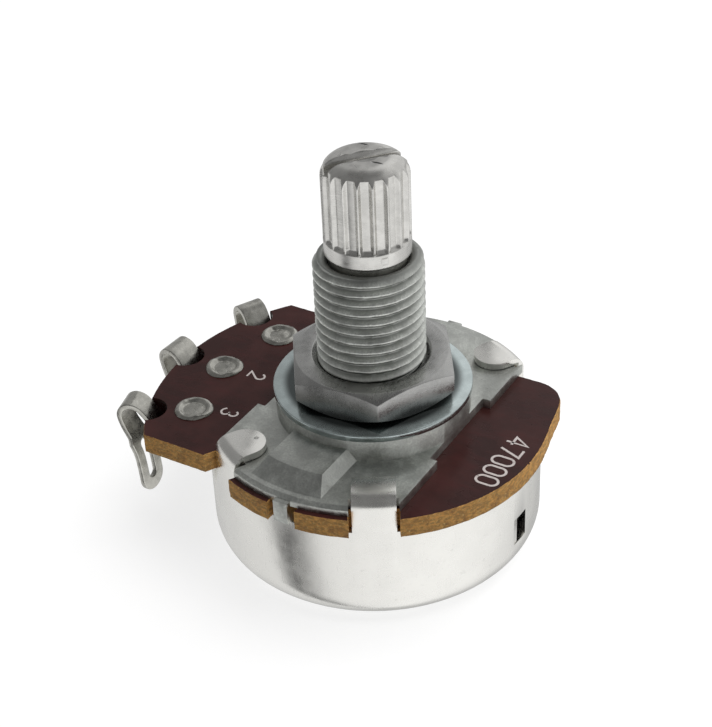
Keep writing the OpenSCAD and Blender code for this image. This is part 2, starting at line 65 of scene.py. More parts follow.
class POT_PG_sizes(bpy.types.PropertyGroup):
    """Sizes of the details that are made here"""

    thread_pitch: bpy.props.FloatProperty(
        name="Thread pitch", description="Distance from one crest of the thread to the next",
        default=0.75 * MM, **LENGTH)
    thread_depth: bpy.props.FloatProperty(
        name="Thread depth", description="Depth of the thread's groove",
        default=0.34 * MM, **LENGTH)
    thread_phase: bpy.props.FloatProperty(
        name="Thread phase", description="Height of one crest on the front of the bush",
        default=22.42 * MM, **LENGTH)
    edge_soft: bpy.props.FloatProperty(
        name="Edge softness", description="Width of the worn bevel on sharp metal edges",
        default=0.06 * MM, **LENGTH)
    digit_height: bpy.props.FloatProperty(
        name="Digit height", description="Height of the digits printed beside the rivets",
        default=1.3 * MM, **LENGTH)
    value_height: bpy.props.FloatProperty(
        name="Value height", description="Height of the digits of the printed value",
        default=1.6 * MM, **LENGTH)
    board_rough: bpy.props.FloatProperty(
        name="Board roughness", description="How far the punched edge of the board is torn in",
        default=0.09 * MM, **LENGTH)


class POT_PG_colours(bpy.types.PropertyGroup):
    """Colours of the finishes"""

    tin: bpy.props.FloatVectorProperty(
        name="Tin plate", description="Colour of the cover's tin plate",
        **COLOUR, default=(0.94, 0.93, 0.89, 1))
    casting: bpy.props.FloatVectorProperty(
        name="Casting", description="Colour of the die-cast plate and bush",
        **COLOUR, default=(0.74, 0.76, 0.72, 1))
    zinc: bpy.props.FloatVectorProperty(
        name="Zinc", description="Colour of the plated washer",
        **COLOUR, default=(0.60, 0.68, 0.68, 1))
    nickel: bpy.props.FloatVectorProperty(
        name="Nickel", description="Colour of the plated nut",
        **COLOUR, default=(0.47, 0.47, 0.46, 1))
    shaft: bpy.props.FloatVectorProperty(
        name="Shaft", description="Colour of the turned shaft",
        **COLOUR, default=(0.78, 0.77, 0.74, 1))
    laminate: bpy.props.FloatVectorProperty(
        name="Laminate", description="Colour of the board's lacquered faces",
        **COLOUR, default=(0.030, 0.009, 0.008, 1))
    fibre: bpy.props.FloatVectorProperty(
        name="Fibre", description="Colour of the board's punched edge",
        **COLOUR, default=(0.74, 0.40, 0.12, 1))
    ink: bpy.props.FloatVectorProperty(
        name="Ink", description="Colour of the printed digits",
        **COLOUR, default=(0.62, 0.56, 0.54, 1))
    solder: bpy.props.FloatVectorProperty(
        name="Solder tin", description="Colour of the tinned lugs and rivets",
        **COLOUR, default=(0.62, 0.61, 0.56, 1))


def sizes():
    return bpy.context.scene.pot_sizes


def colours():
    return bpy.context.scene.pot_colours


# ---------------------------------------- mesh helpers


def solid_copy(node):
    """A clean copy of a CAD node's mesh, with its flat faces joined."""
    bm = bmesh.new()
    bm.from_mesh(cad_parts[node].data)
    bmesh.ops.remove_doubles(bm, verts=bm.verts, dist=0.0005 * MM)
    bmesh.ops.dissolve_limit(bm, angle_limit=math.radians(0.6), verts=bm.verts, edges=bm.edges)
    return bm


def soften(bm, width, angle=30, segments=2, most=180):
    """Bevels the edges that turn by more than angle and less than most."""
    low, high = math.radians(angle), math.radians(most)
    sharp = [e for e in bm.edges if len(e.link_faces) == 2 and low < e.calc_face_angle(0) < high]
    bmesh.ops.bevel(bm, geom=sharp, offset=width, offset_type="OFFSET", segments=segments,
                    profile=0.5, affect="EDGES", clamp_overlap=True, loop_slide=True)


def cut_at(bm, height):
    """Takes away what lies above a height and closes the cut."""
    bmesh.ops.bisect_plane(bm, geom=bm.verts[:] + bm.edges[:] + bm.faces[:], dist=1e-7,
                           plane_co=(0, 0, height), plane_no=(0, 0, 1), clear_outer=True)
    rim = [e for e in bm.edges if e.is_boundary]
    bmesh.ops.triangle_fill(bm, use_beauty=True, use_dissolve=False, edges=rim)


def add_piece(bm, name, body, finishes, nodes=(), angle=35):
    """Makes a piece of bm that rides on its body and stands for its nodes.

    It is shaded smooth, and sharp where it turns by more than angle.
    """
    mesh = bpy.data.meshes.new(name)
    bmesh.ops.recalc_face_normals(bm, faces=bm.faces)
    bm.to_mesh(mesh)
    bm.free()
    mesh.shade_smooth()
    mesh.set_sharp_from_angle(angle=math.radians(angle))
    for finish in finishes:
        mesh.materials.append(finish)
    piece = bpy.data.objects.new(name, mesh)
    bpy.context.scene.collection.objects.link(piece)
    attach(piece, body)
    if nodes:
        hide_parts(*nodes)


def close_rows(bm, rows):
    """Joins closed rings of vertices, one ring after the other, with quads."""
    for low, high in zip(rows, rows[1:]):
        for i in range(len(low)):
            j = (i + 1) % len(low)
            bm.faces.new((low[i], low[j], high[j], high[i]))


def fill_rings(bm, rings):
    """Fills the flat area between closed rings of vertices."""
    edges = []
    for ring in rings:
        for i, vert in enumerate(ring):
            after = ring[(i + 1) % len(ring)]
            edges.append(bm.edges.get((vert, after)) or bm.edges.new((vert, after)))
    bmesh.ops.triangle_fill(bm, use_beauty=True, use_dissolve=False, edges=edges)


def lathe(bm, centre, profile, steps, shape=None):
    """Turns a profile of (radius, height) round the vertical through centre."""
    rows = []
    for radius, height in profile:
        row = []
        for i in range(steps):
            angle = math.tau * i / steps
            r, z = shape(radius, height, angle) if shape else (radius, height)
            row.append(bm.verts.new((centre.x + r * math.cos(angle),
                                     centre.y + r * math.sin(angle), z)))
        rows.append(row)
    close_rows(bm, rows)
    bm.faces.new(rows[0])
    bm.faces.new(rows[-1])


# ---------------------------------------- finishes


class Nodes:
    """Adds nodes to a material or a world."""

    def __init__(self, tree):
        self.tree = tree

    def node(self, kind, **values):
        made = self.tree.nodes.new(kind)
        for key, value in values.items():
            setattr(made, key, value)
        return made

    def link(self, output, socket):
        self.tree.links.new(output, socket)

    def put(self, value, socket):
        """Links an output, or sets a plain value."""
        if isinstance(value, bpy.types.NodeSocket):
            self.link(value, socket)
        else:
            socket.default_value = value

    def maths(self, kind, first, second):
        made = self.node("ShaderNodeMath", operation=kind)
        self.put(first, made.inputs[0])
        self.put(second, made.inputs[1])
        return made.outputs["Value"]

    def span(self, value, low, high, to_low=0, to_high=1):
        """Maps value from low..high to to_low..to_high, held inside."""
        made = self.node("ShaderNodeMapRange", interpolation_type="SMOOTHSTEP")
        self.link(value, made.inputs["Value"])
        for socket, number in (("From Min", low), ("From Max", high),
                               ("To Min", to_low), ("To Max", to_high)):
            made.inputs[socket].default_value = number
        return made.outputs["Result"]


class Finish(Nodes):
    """A procedural material while it is being put together."""

    def __init__(self, name):
        self.material = bpy.data.materials.new(name)
        self.material.use_nodes = True
        super().__init__(self.material.node_tree)
        self.shader = self.tree.nodes["Principled BSDF"]
        self.place = self.node("ShaderNodeTexCoord").outputs["Object"]

    def squeezed(self, x, y, z):
        """Coordinates that make patterns x, y and z times as long along the axes."""
        mapping = self.node("ShaderNodeMapping")
        self.link(self.place, mapping.inputs["Vector"])
        mapping.inputs["Scale"].default_value = (1 / x, 1 / y, 1 / z)
        return mapping.outputs["Vector"]

    def noise(self, size, detail=3, rough=0.55, place=None):
        made = self.node("ShaderNodeTexNoise")
        self.link(place or self.place, made.inputs["Vector"])
        made.inputs["Scale"].default_value = 1 / size
        made.inputs["Detail"].default_value = detail
        made.inputs["Roughness"].default_value = rough
        return made.outputs["Fac"]

    def cells(self, size):
        made = self.node("ShaderNodeTexVoronoi")
        self.link(self.place, made.inputs["Vector"])
        made.inputs["Scale"].default_value = 1 / size
        return made.outputs["Distance"]

    def length(self, vector):
        made = self.node("ShaderNodeVectorMath", operation="LENGTH")
        self.link(vector, made.inputs[0])
        return made.outputs["Value"]

    def near(self, place, radii, turn):
        """1 inside an ellipsoid round a place, in millimetres, and 0 outside it."""
        mapping = self.node("ShaderNodeMapping", vector_type="TEXTURE")
        self.link(self.place, mapping.inputs["Vector"])
        mapping.inputs["Location"].default_value = Vector(place) * MM
        mapping.inputs["Rotation"].default_value = (0, 0, math.radians(turn))
        mapping.inputs["Scale"].default_value = Vector(radii) * MM
        return self.span(self.length(mapping.outputs["Vector"]), 0.6, 1.1, 1, 0)

    def axis_distance(self):
        """Distance from the upright axis of the shaft."""
        flat = self.node("ShaderNodeVectorMath", operation="MULTIPLY")
        self.link(self.place, flat.inputs[0])
        flat.inputs[1].default_value = (1, 1, 0)
        return self.length(flat.outputs["Vector"])

    def mixed(self, share, first, second):
        made = self.node("ShaderNodeMix", data_type="RGBA")
        self.put(share, made.inputs["Factor"])
        self.put(first, made.inputs["A"])
        self.put(second, made.inputs["B"])
        return made.outputs["Result"]

    def cloudy(self, cloud, base, low, high):
        """The base colour between two brightnesses, by a cloud pattern."""
        return self.mixed(self.span(cloud, 0.35, 0.68), tinted(base, low), tinted(base, high))

    def rough_from(self, cloud, grain, low, high):
        return self.span(self.maths("ADD", cloud, grain), 0.7, 1.3, low, high)

    def bump(self, height, depth):
        """Adds a relief of real depth in metres to the surface."""
        made = self.node("ShaderNodeBump")
        made.inputs["Strength"].default_value = 1.0
        made.inputs["Distance"].default_value = depth
        self.link(height, made.inputs["Height"])
        normal = self.shader.inputs["Normal"]
        if normal.is_linked:
            self.link(normal.links[0].from_socket, made.inputs["Normal"])
        self.link(made.outputs["Normal"], normal)

    def surface(self, colour, rough, metal=0.0):
        self.put(colour, self.shader.inputs["Base Color"])
        self.put(rough, self.shader.inputs["Roughness"])
        self.shader.inputs["Metallic"].default_value = metal
        return self.material


def tinted(colour, factor):
    return (colour[0] * factor, colour[1] * factor, colour[2] * factor, 1)


# Small dents, which are also darkened with painted shade: middle, half lengths and turn in degrees
TAB_DENT = ((8.15, -4.66, 11.05), (0.16, 0.16, 0.3), 0)
SHAFT_NICKS = (((-1.45, -0.99, 30.05), (0.11, 0.50, 0.4), -7),
               ((0.53, 1.25, 30.1), (0.11, 0.44, 0.4), 4))


def tin_plate():
    """Bright drawn tin plate: soft mottling, rubbed spots, a few fine scratches and painted shade
    in a dent on a tab.
    """
    f = Finish("tin_plate")
    base = tuple(colours().tin)
    cloud = f.noise(2.2 * MM, 4, 0.6)
    spots = f.span(f.noise(0.35 * MM, 3, 0.7), 0.60, 0.72)
    scratch = f.span(f.noise(0.12 * MM, 2, 0.5, f.squeezed(1, 1, 9)), 0.64, 0.72)
    colour = f.mixed(f.span(cloud, 0.35, 0.7), tinted(base, 0.93), base)
    colour = f.mixed(f.maths("MULTIPLY", spots, 0.16), colour, tinted(base, 0.45))
    dent_and_shade = f.near(*TAB_DENT)
    # Painted shade: the dent on the tab is darkened in colour
    colour = f.mixed(f.maths("MULTIPLY", dent_and_shade, 0.5), colour, tinted(base, 0.3))
    f.bump(dent_and_shade, -0.04 * MM)
    rough = f.maths("ADD", f.span(cloud, 0.3, 0.7, 0.20, 0.32), f.maths("MULTIPLY", scratch, 0.1))
    f.bump(f.noise(1.6 * MM, 2), 0.010 * MM)
    f.bump(f.noise(0.12 * MM, 2), 0.0012 * MM)
    return f.surface(colour, rough, 1.0)


def cast_alloy(name, factor=1.0, painted_shade=False):
    """Die-cast zinc alloy: dull, cloudy and finely pitted, with painted shade down in the thread.
    """
    f = Finish(name)
    base = tinted(tuple(colours().casting), factor)
    cloud = f.noise(1.6 * MM, 5, 0.62)
    grain = f.noise(0.16 * MM, 4, 0.65)
    pits = f.span(f.cells(0.5 * MM), 0.0, 0.16, 1, 0)
    colour = f.cloudy(cloud, base, 0.72, 1.12)
    colour = f.mixed(f.span(grain, 0.35, 0.7, 0.4, 0), colour, tinted(base, 0.45))
    if painted_shade:
        # Painted shade: the colour darkens towards the root of the thread
        deep = f.span(f.axis_distance(), THREAD_ROOT, THREAD_CREST, 0.75, 0)
        colour = f.mixed(deep, colour, tinted(base, 0.25))
    rough = f.rough_from(cloud, grain, 0.34, 0.52)
    f.bump(cloud, 0.03 * MM)
    f.bump(grain, 0.014 * MM)
    f.bump(pits, -0.015 * MM)
    return f.surface(colour, rough, 1.0)


def plated_steel(name, base, rough_low, rough_high, streak, painted_shade=None):
    """Plated steel with fine tumbling marks, and, if a radius is given, a dark ring of painted
    shade round the axis that ends there.
    """
    f = Finish(name)
    cloud = f.noise(1.8 * MM, 4, 0.6)
    marks = f.noise(0.14 * MM, 3, 0.6, f.squeezed(streak, 1, 1))
    colour = f.cloudy(cloud, base, 0.85, 1.06)
    if painted_shade:
        # Painted shade: the colour goes nearly black inside the given radius, as the nut's shadow
        # on the washer
        shade_ring = f.span(f.axis_distance(), painted_shade - 0.7 * MM, painted_shade, 0.9, 0)
        colour = f.mixed(shade_ring, colour, tinted(base, 0.08))
    rough = f.rough_from(cloud, marks, rough_low, rough_high)
    f.bump(cloud, 0.008 * MM)
    f.bump(marks, 0.003 * MM)
    return f.surface(colour, rough, 1.0)


def satin_alloy():
    """Turned light alloy with fine turning marks round the shaft, and painted shade in two nicks.
    """
    f = Finish("satin_alloy")
    base = tuple(colours().shaft)
    turning = f.noise(0.10 * MM, 2, 0.5, f.squeezed(12, 12, 1))
    cloud = f.noise(0.9 * MM, 4, 0.6)
    colour = f.cloudy(cloud, base, 0.82, 1)
    nicks_and_shade = f.maths("MAXIMUM", f.near(*SHAFT_NICKS[0]), f.near(*SHAFT_NICKS[1]))
    # Painted shade: the two nicks are darkened nearly to black
    colour = f.mixed(f.maths("MULTIPLY", nicks_and_shade, 0.95), colour, tinted(base, 0.06))
    f.bump(nicks_and_shade, -0.05 * MM)
    rough = f.rough_from(cloud, turning, 0.24, 0.36)
    f.bump(turning, 0.004 * MM)
    f.bump(cloud, 0.008 * MM)
    return f.surface(colour, rough, 1.0)


def solder_tin(name, factor=1.0, dull=0.0):
    """Tinned metal: a soft flowed coat with darker patches."""
    f = Finish(name)
    base = tinted(tuple(colours().solder), factor)
    flow = f.noise(0.9 * MM, 4, 0.6)
    grain = f.noise(0.15 * MM, 3, 0.6)
    colour = f.cloudy(flow, base, 0.72, 1.08)
    rough = f.rough_from(flow, grain, 0.22 + dull, 0.40 + dull)
    f.bump(flow, 0.02 * MM)
    f.bump(grain, 0.004 * MM)
    return f.surface(colour, rough, 1.0)


def lacquered_face():
    """Dark reddish laminate under a thin gloss lacquer."""
    f = Finish("lacquered_face")
    base = tuple(colours().laminate)
    cloud = f.noise(3.5 * MM, 4, 0.6)
    weave = f.noise(0.5 * MM, 3, 0.6, f.squeezed(1, 4, 1))
    dust = f.span(f.noise(0.13 * MM, 2, 0.6), 0.70, 0.80, 0, 0.5)
    colour = f.mixed(f.span(cloud, 0.35, 0.7), base, tinted(base, 1.7))
    colour = f.mixed(f.span(weave, 0.45, 0.75, 0, 0.35), colour, (0.060, 0.012, 0.012, 1))
    colour = f.mixed(dust, colour, (0.09, 0.06, 0.055, 1))
    rough = f.span(cloud, 0.3, 0.7, 0.24, 0.34)
    f.shader.inputs["Specular IOR Level"].default_value = 0.2
    f.bump(weave, 0.006 * MM)
    f.bump(f.noise(2.5 * MM, 2), 0.03 * MM)
    return f.surface(colour, rough)


def fibrous_edge():
    """Torn paper fibres on the punched edge, in layers along the board."""
    f = Finish("fibrous_edge")
    base = tuple(colours().fibre)
    layers = f.noise(0.20 * MM, 5, 0.7, f.squeezed(2, 2, 1))
    clumps = f.noise(0.9 * MM, 4, 0.65)
    specks = f.span(f.noise(0.16 * MM, 3, 0.7), 0.56, 0.70, 0, 0.8)
    colour = f.mixed(f.span(layers, 0.35, 0.66), tinted(base, 0.62), tinted(base, 1.3))
    colour = f.mixed(f.span(clumps, 0.45, 0.7, 0, 0.55), colour, (0.26, 0.10, 0.035, 1))
    colour = f.mixed(specks, colour, (0.95, 0.70, 0.28, 1))
    f.bump(layers, 0.05 * MM)
    f.bump(f.noise(0.12 * MM, 3), 0.03 * MM)
    return f.surface(colour, f.span(layers, 0.3, 0.7, 0.55, 0.8))


def screen_ink():
    """Thin pale ink, slightly worn through."""
    f = Finish("screen_ink")
    base = tuple(colours().ink)
    wear = f.noise(0.25 * MM, 4, 0.7)
    colour = f.mixed(f.span(wear, 0.52, 0.75, 0, 0.7), base, (0.16, 0.10, 0.09, 1))
    f.bump(wear, 0.004 * MM)
    return f.surface(colour, f.span(wear, 0.3, 0.7, 0.45, 0.6))


def carbon_film():
    """Matt black film of the resistive track."""
    f = Finish("carbon_film")
    grain = f.noise(0.08 * MM, 4, 0.7)
    colour = f.mixed(f.span(grain, 0.3, 0.7), (0.010, 0.010, 0.011, 1), (0.04, 0.04, 0.042, 1))
    f.bump(grain, 0.006 * MM)
    return f.surface(colour, f.span(grain, 0.3, 0.7, 0.45, 0.65))


def phenolic_disc():
    """Plain brown laminate of the wiper carrier."""
    f = Finish("phenolic_disc")
    weave = f.noise(0.4 * MM, 4, 0.65, f.squeezed(3, 1, 1))
    colour = f.mixed(f.span(weave, 0.3, 0.7), (0.10, 0.045, 0.018, 1), (0.22, 0.11, 0.05, 1))
    f.bump(weave, 0.01 * MM)
    return f.surface(colour, f.span(weave, 0.3, 0.7, 0.4, 0.6))


# ---------------------------------------- cover


class POT_OT_cover(bpy.types.Operator):
    """Makes the drawn cover with its folded tabs"""

    bl_idname = "pot.cover"
    bl_label = "Cover"

    def execute(self, context):
        bm = solid_copy("cover")
        soften(bm, sizes().edge_soft, 35)
        add_piece(bm, "drawn_cover", ROOT, [tin_plate()], ["cover"])
        return {"FINISHED"}


# ---------------------------------------- plate and bush

RAMP_SOFT = 0.22 * MM
BUSH_BORE = 2.85 * MM
BUSH_MOUTH = 3.15 * MM
THREAD_CREST = 3.86 * MM
THREAD_ROOT = 3.5 * MM
THREAD_START = 14.05 * MM
NUT_BORE_EDGE = 14.4 * MM
BUSH_CHAMFER = 0.4 * MM
FRONT_ANGLE = math.radians(31)
# Shares of half a pitch
CREST_FLAT = 0.14
FLANK_SHARE = 0.70
CREST_WEAR = 0.04 * MM
# How close the dents of the crests lie and how deep they are, coarse and fine
CREST_DENTS = ((9, 1.0), (26, 0.8))
DENT_HEIGHT = 3.9 * MM
CREST_DROP = 0.01 * MM
ROOT_ROOM = 0.02 * MM


def thread_radius(z, angle, top):
    """Radius of the threaded bush at a height and an angle."""
    turn = (z - sizes().thread_phase) / sizes().thread_pitch - (angle - FRONT_ANGLE) / math.tau
    across = abs(turn - round(turn)) * 2
    flank = min(max((across - CREST_FLAT) / FLANK_SHARE, 0), 1)
    around = Vector((math.cos(angle), math.sin(angle), z / DENT_HEIGHT))
    dents = sum(depth * noise.noise(around * close) for close, depth in CREST_DENTS)
    radius = THREAD_CREST - sizes().thread_depth * flank + min(CREST_WEAR * dents, 0) - CREST_DROP
    mouth = THREAD_ROOT + max(z - NUT_BORE_EDGE, 0) - ROOT_ROOM
    return min(radius, mouth, THREAD_CREST - BUSH_CHAMFER + top - z)


def threaded_bush():
    """The bush, with its thread as one climbing helix and a wider mouth."""
    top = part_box("bushing_plate")[1].z
    around, per_turn = 128, 12
    pitch = sizes().thread_pitch
    bm = bmesh.new()
    count = int(math.ceil((top - THREAD_START) / pitch + 1) * per_turn)
    rows = []
    for i in range(count + 1):
        row = []
        for j in range(around):
            angle = math.tau * j / around
            z = THREAD_START + pitch * (i / per_turn + j / around - 1)
            z = min(max(z, THREAD_START), top)
            r = thread_radius(z, angle, top)
            row.append(bm.verts.new((r * math.cos(angle), r * math.sin(angle), z)))
        rows.append(row)
    for low, high in zip(rows, rows[1:]):
        for j in range(around - 1):
            bm.faces.new((low[j], low[j + 1], high[j + 1], high[j]))
    # The seam climbs by one pitch in a turn
    for i in range(1, len(rows)):
        ahead = rows[min(i + per_turn, len(rows) - 1)]
        ahead_low = rows[min(i - 1 + per_turn, len(rows) - 1)]
        corners = dict.fromkeys((rows[i - 1][-1], ahead_low[0], ahead[0], rows[i][-1]))
        if len(corners) > 2:
            bm.faces.new(list(corners))
    bmesh.ops.remove_doubles(bm, verts=bm.verts, dist=0.0001 * MM)
    bmesh.ops.dissolve_degenerate(bm, dist=0.0001 * MM, edges=bm.edges)
    edge_low = ring_at(bm, THREAD_START)
    edge_top = ring_at(bm, top)
    inner = []
    for radius, z in ((BUSH_MOUTH, top), (BUSH_BORE, top - (BUSH_MOUTH - BUSH_BORE) / 1.1),
                      (BUSH_BORE, THREAD_START)):
        inner.append([bm.verts.new((radius * math.cos(a), radius * math.sin(a), z))
                      for a in (math.tau * k / 96 for k in range(96))])
    close_rows(bm, inner)
    fill_rings(bm, [edge_top, inner[0]])
    fill_rings(bm, [edge_low, inner[-1]])
    return bm


def ring_at(bm, z):
    """The outer ring of vertices at a height, in order round the axis."""
    verts = [v for v in bm.verts if abs(v.co.z - z) < 0.0005 * MM]
    return sorted(verts, key=lambda v: math.atan2(v.co.y, v.co.x))


class POT_OT_plate(bpy.types.Operator):
    """Makes the die-cast plate and the threaded bush on it"""

    bl_idname = "pot.plate"
    bl_label = "Plate and bush"

    def execute(self, context):
        bm = solid_copy("bushing_plate")
        cut_at(bm, THREAD_START)
        soften(bm, RAMP_SOFT, 12, 3, 55)
        soften(bm, sizes().edge_soft * 1.5, 35)
        add_piece(bm, "cast_plate", ROOT, [cast_alloy("cast_plate")],
                  ["bushing_plate"])
        # The bush takes the plate's casting finish 1.3 times as bright, as painted light, with
        # painted shade down in its thread
        add_piece(threaded_bush(), "bush_thread", ROOT,
                  [cast_alloy("cast_bush", 1.3, True)], ["bushing_plate"], 50)
        return {"FINISHED"}


# ---------------------------------------- board


def outlines(node, z):
    """Closed outlines of a flat CAD piece at height z; material lies to the left."""
    bm = solid_copy(node)
    follow = {}
    for edge in bm.edges:
        flat = [f for f in edge.link_faces if all(abs(v.co.z - z) < 1e-7 for v in f.verts)]
        if len(flat) == 1 and len(edge.link_faces) == 2:
            loop = next(item for item in flat[0].loops if item.edge == edge)
            follow[loop.vert.index] = loop.link_loop_next.vert.index
    bm.verts.ensure_lookup_table()
    loops = []
    while follow:
        start = next(iter(follow))
        chain, here = [], start
        while here in follow:
            chain.append(bm.verts[here].co.xy.copy())
            here = follow.pop(here)
        loops.append(chain)
    bm.free()
    return loops


def resampled(loop, step):
    """The points of a closed outline with more points between them, and their outward normals."""
    points = []
    for a, b in zip(loop, loop[1:] + loop[:1]):
        parts = max(1, round((b - a).length / step))
        points += [a.lerp(b, k / parts) for k in range(parts)]
    normals = []
    for i, point in enumerate(points):
        along = (points[(i + 1) % len(points)] - points[i - 1]).normalized()
        normals.append(Vector((along.y, -along.x)))
    return points, normals


CHIPPED_CORNER = Vector((8.6, -9.0)) * MM
LUG_END = -12.9 * MM
# An outline that stays inside this radius is the hole in the middle
HOLE_REACH = 5 * MM
EDGE_STEP = 0.16 * MM
CHIP_REACH = 1.1 * MM
FIBRE_CLUMP = 0.45 * MM
FIBRE_WIDTH = 0.16 * MM


class POT_OT_board(bpy.types.Operator):
    """Makes the laminate board with its torn edge"""

    bl_idname = "pot.board"
    bl_label = "Board"

    def execute(self, context):
        low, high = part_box("board")
        thick = high.z - low.z
        layers = (0.0, 0.04, 0.18, 0.34, 0.5, 0.66, 0.82, 0.95, 1.0)
        bm = bmesh.new()
        floor_rings, top_rings = [], []
        for loop in outlines("board", high.z):
            points, normals = resampled(loop, EDGE_STEP)
            rough = sizes().board_rough if max(p.length for p in points) > HOLE_REACH else 0
            rows = []
            for share in layers:
                z = low.z + thick * share
                row = []
                for p, n in zip(points, normals):
                    grain = noise.noise(Vector((p.x, p.y, z * 3)) / FIBRE_CLUMP)
                    grain += 0.7 * noise.noise(Vector((p.x, p.y, z * 4)) / FIBRE_WIDTH)
                    chip = max(0.0, 1 - (p - CHIPPED_CORNER).length / CHIP_REACH)
                    depth = rough * (0.25 + 0.55 * max(-0.4, min(grain, 1.2))) * (1 + 2 * chip)
                    if p.y < LUG_END:
                        depth *= 0.3
                    if share in (0.0, 1.0):
                        depth = max(depth, 0) * 0.6 + rough * 0.4
                    depth = max(depth, 0)
                    row.append(bm.verts.new((p.x - n.x * depth, p.y - n.y * depth, z)))
                rows.append(row)
            close_rows(bm, rows)
            floor_rings.append(rows[0])
            top_rings.append(rows[-1])
        fill_rings(bm, floor_rings)
        fill_rings(bm, top_rings)
        bmesh.ops.recalc_face_normals(bm, faces=bm.faces)
        for face in bm.faces:
            middle = face.calc_center_median() / MM
            lug_end = middle.y * MM < LUG_END and abs(middle.x) < 9.2
            face.material_index = int(abs(face.normal.z) < 0.6 and not lug_end)
        add_piece(bm, "laminate_board", ROOT,
                  [lacquered_face(), fibrous_edge()], ["board"], 40)
        return {"FINISHED"}


# ---------------------------------------- print


def arc(cx, cy, rx, ry, start, end, steps=14):
    """Points of an elliptic arc between two angles in degrees."""
    turn = [math.radians(start + (end - start) * k / steps) for k in range(steps + 1)]
    return [(cx + rx * math.cos(a), cy + ry * math.sin(a)) for a in turn]


# Strokes of each digit in a cell 0.6 wide and 1 high
DIGITS = {
    "0": [arc(0.3, 0.72, 0.27, 0.28, 180, 0) + arc(0.3, 0.28, 0.27, 0.28, 0, -180)
          + [(0.03, 0.72)]],
    "1": [[(0.12, 0.78), (0.34, 1.0), (0.34, 0.0)]],
    "2": [arc(0.3, 0.72, 0.26, 0.28, 170, -30) + [(0.04, 0.0), (0.58, 0.0)]],
    "3": [arc(0.28, 0.75, 0.24, 0.25, 160, -80) + arc(0.28, 0.26, 0.28, 0.26, 80, -160)],
    "4": [[(0.44, 0.0), (0.44, 1.0), (0.02, 0.3), (0.6, 0.3)]],
    "7": [[(0.03, 1.0), (0.58, 1.0), (0.22, 0.0)]],
}


# Each word and the lower left corner of its first digit in millimetres
WORDS = (("1", -5.3, -9.9), ("2", -0.15, -10.6), ("3", 4.72, -9.76), ("47000", -1.8, 10.05))
DIGIT_STEP = 0.76
STROKE_WIDTH = 0.115
INK_SUNK = 0.01 * MM
INK_PROUD = 0.012 * MM


def ribbon(bm, points, width, low, high):
    """A thin raised stroke along a line of points."""
    rows = []
    for i, p in enumerate(points):
        before = points[max(i - 1, 0)]
        after = points[min(i + 1, len(points) - 1)]
        into = (p - before).normalized() if i else (after - p).normalized()
        out = (after - p).normalized() if i < len(points) - 1 else into
        mid = (into + out).normalized() if (into + out).length > 0.01 else into
        side = Vector((-mid.y, mid.x)) * (width / 2 / max(abs(mid.dot(into)), 0.5))
        rows.append([bm.verts.new((p + s).to_3d() + Vector((0, 0, z)))
                     for s, z in ((side, low), (side, high), (-side, high), (-side, low))])
    close_rows(bm, rows)
    bm.faces.new(rows[0])
    bm.faces.new(rows[-1])


class POT_OT_print(bpy.types.Operator):
    """Prints the terminal numbers and the value on the board"""

    bl_idname = "pot.print"
    bl_label = "Print"

    def execute(self, context):
        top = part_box("board")[1].z
        terminal, value = sizes().digit_height, sizes().value_height
        bm = bmesh.new()
        for text, x, y in WORDS:
            height = value if len(text) > 1 else terminal
            for k, digit in enumerate(text):
                left = Vector((x * MM + k * height * DIGIT_STEP, y * MM))
                for stroke in DIGITS[digit]:
                    line = [left + Vector((px, py)) * height for px, py in stroke]
                    ribbon(bm, line, height * STROKE_WIDTH, top - INK_SUNK, top + INK_PROUD)
        add_piece(bm, "printed_digits", ROOT, [screen_ink()])
        return {"FINISHED"}


# ---------------------------------------- lugs and rivets

LUG_THICK = 0.4 * MM
# Middle of each rivet's head and the direction of its lug in degrees
LUG_PLACES = (((-5.20, -11.41), -116.1), ((0.42, -12.73), -93.2), ((5.96, -11.62), -69.0))
# Middle line of a lug from its inner end: distance from the rivet, height and twist in degrees
LUG_LINE = (
    (-1.4, 8.0, 0), (0.7, 8.0, 0), (2.3, 8.0, 0), (2.78, 8.2, 0), (3.1, 8.8, 0),
    (3.5, 9.5, 0), (3.95, 10.05, 0), (4.55, 10.26, 0), (5.06, 10.05, 0), (5.3, 9.5, 0),
    (5.14, 8.6, 0), (4.85, 7.7, 0), (4.66, 6.9, 0), (4.64, 5.6, 0), (4.64, 4.0, 0), (4.64, 2.3, 0),
)
THIRD_LUG_LINE = (
    (-1.4, 8.0, 0), (0.7, 8.0, 0), (2.3, 8.0, 0), (2.78, 8.2, 1), (3.1, 8.8, 2),
    (3.5, 9.5, 3), (3.95, 10.05, 4), (4.55, 10.26, 5), (5.06, 10.05, 6), (5.3, 9.5, 8),
    (5.12, 8.6, 10), (4.75, 7.7, 14), (4.35, 6.8, 18), (4.05, 5.8, 20), (3.88, 4.1, 21),
    (3.8, 2.4, 21),
)
# Widths of each lug's strip and eyelet, then of the slot, and the eyelet's length, in millimetres
LUG_WIDTHS = ((2.05, 2.5), (2.2, 2.5), (1.85, 2.3))
EYELET_SLOT = 0.78
EYELET_LENGTH = 4.7
# The slot's ends stay back from the middle of the round end and from the neck
SLOT_BACK = (0.28, 0.65)
# Lengths between cuts across the lug, where it is flat and after that
FLAT_LENGTH, FLAT_CUT, BEND_CUT = 3.5, 0.6, 0.16


def smooth_line(knots, steps=12):
    """Points of a smooth curve through the knots, with the length up to each."""
    points = []
    padded = [knots[0], *knots, knots[-1]]
    for a, b, c, d in zip(padded, padded[1:], padded[2:], padded[3:]):
        for k in range(steps):
            t = k / steps
            points.append(Vector([
                0.5 * (2 * q + (r - p) * t + (2 * p - 5 * q + 4 * r - s) * t * t
                       + (3 * q - p - 3 * r + s) * t ** 3)
                for p, q, r, s in zip(a, b, c, d)]))
    points.append(Vector(knots[-1]))
    lengths = [0.0]
    for a, b in zip(points, points[1:]):
        lengths.append(lengths[-1] + (b - a).xy.length)
    return points, lengths


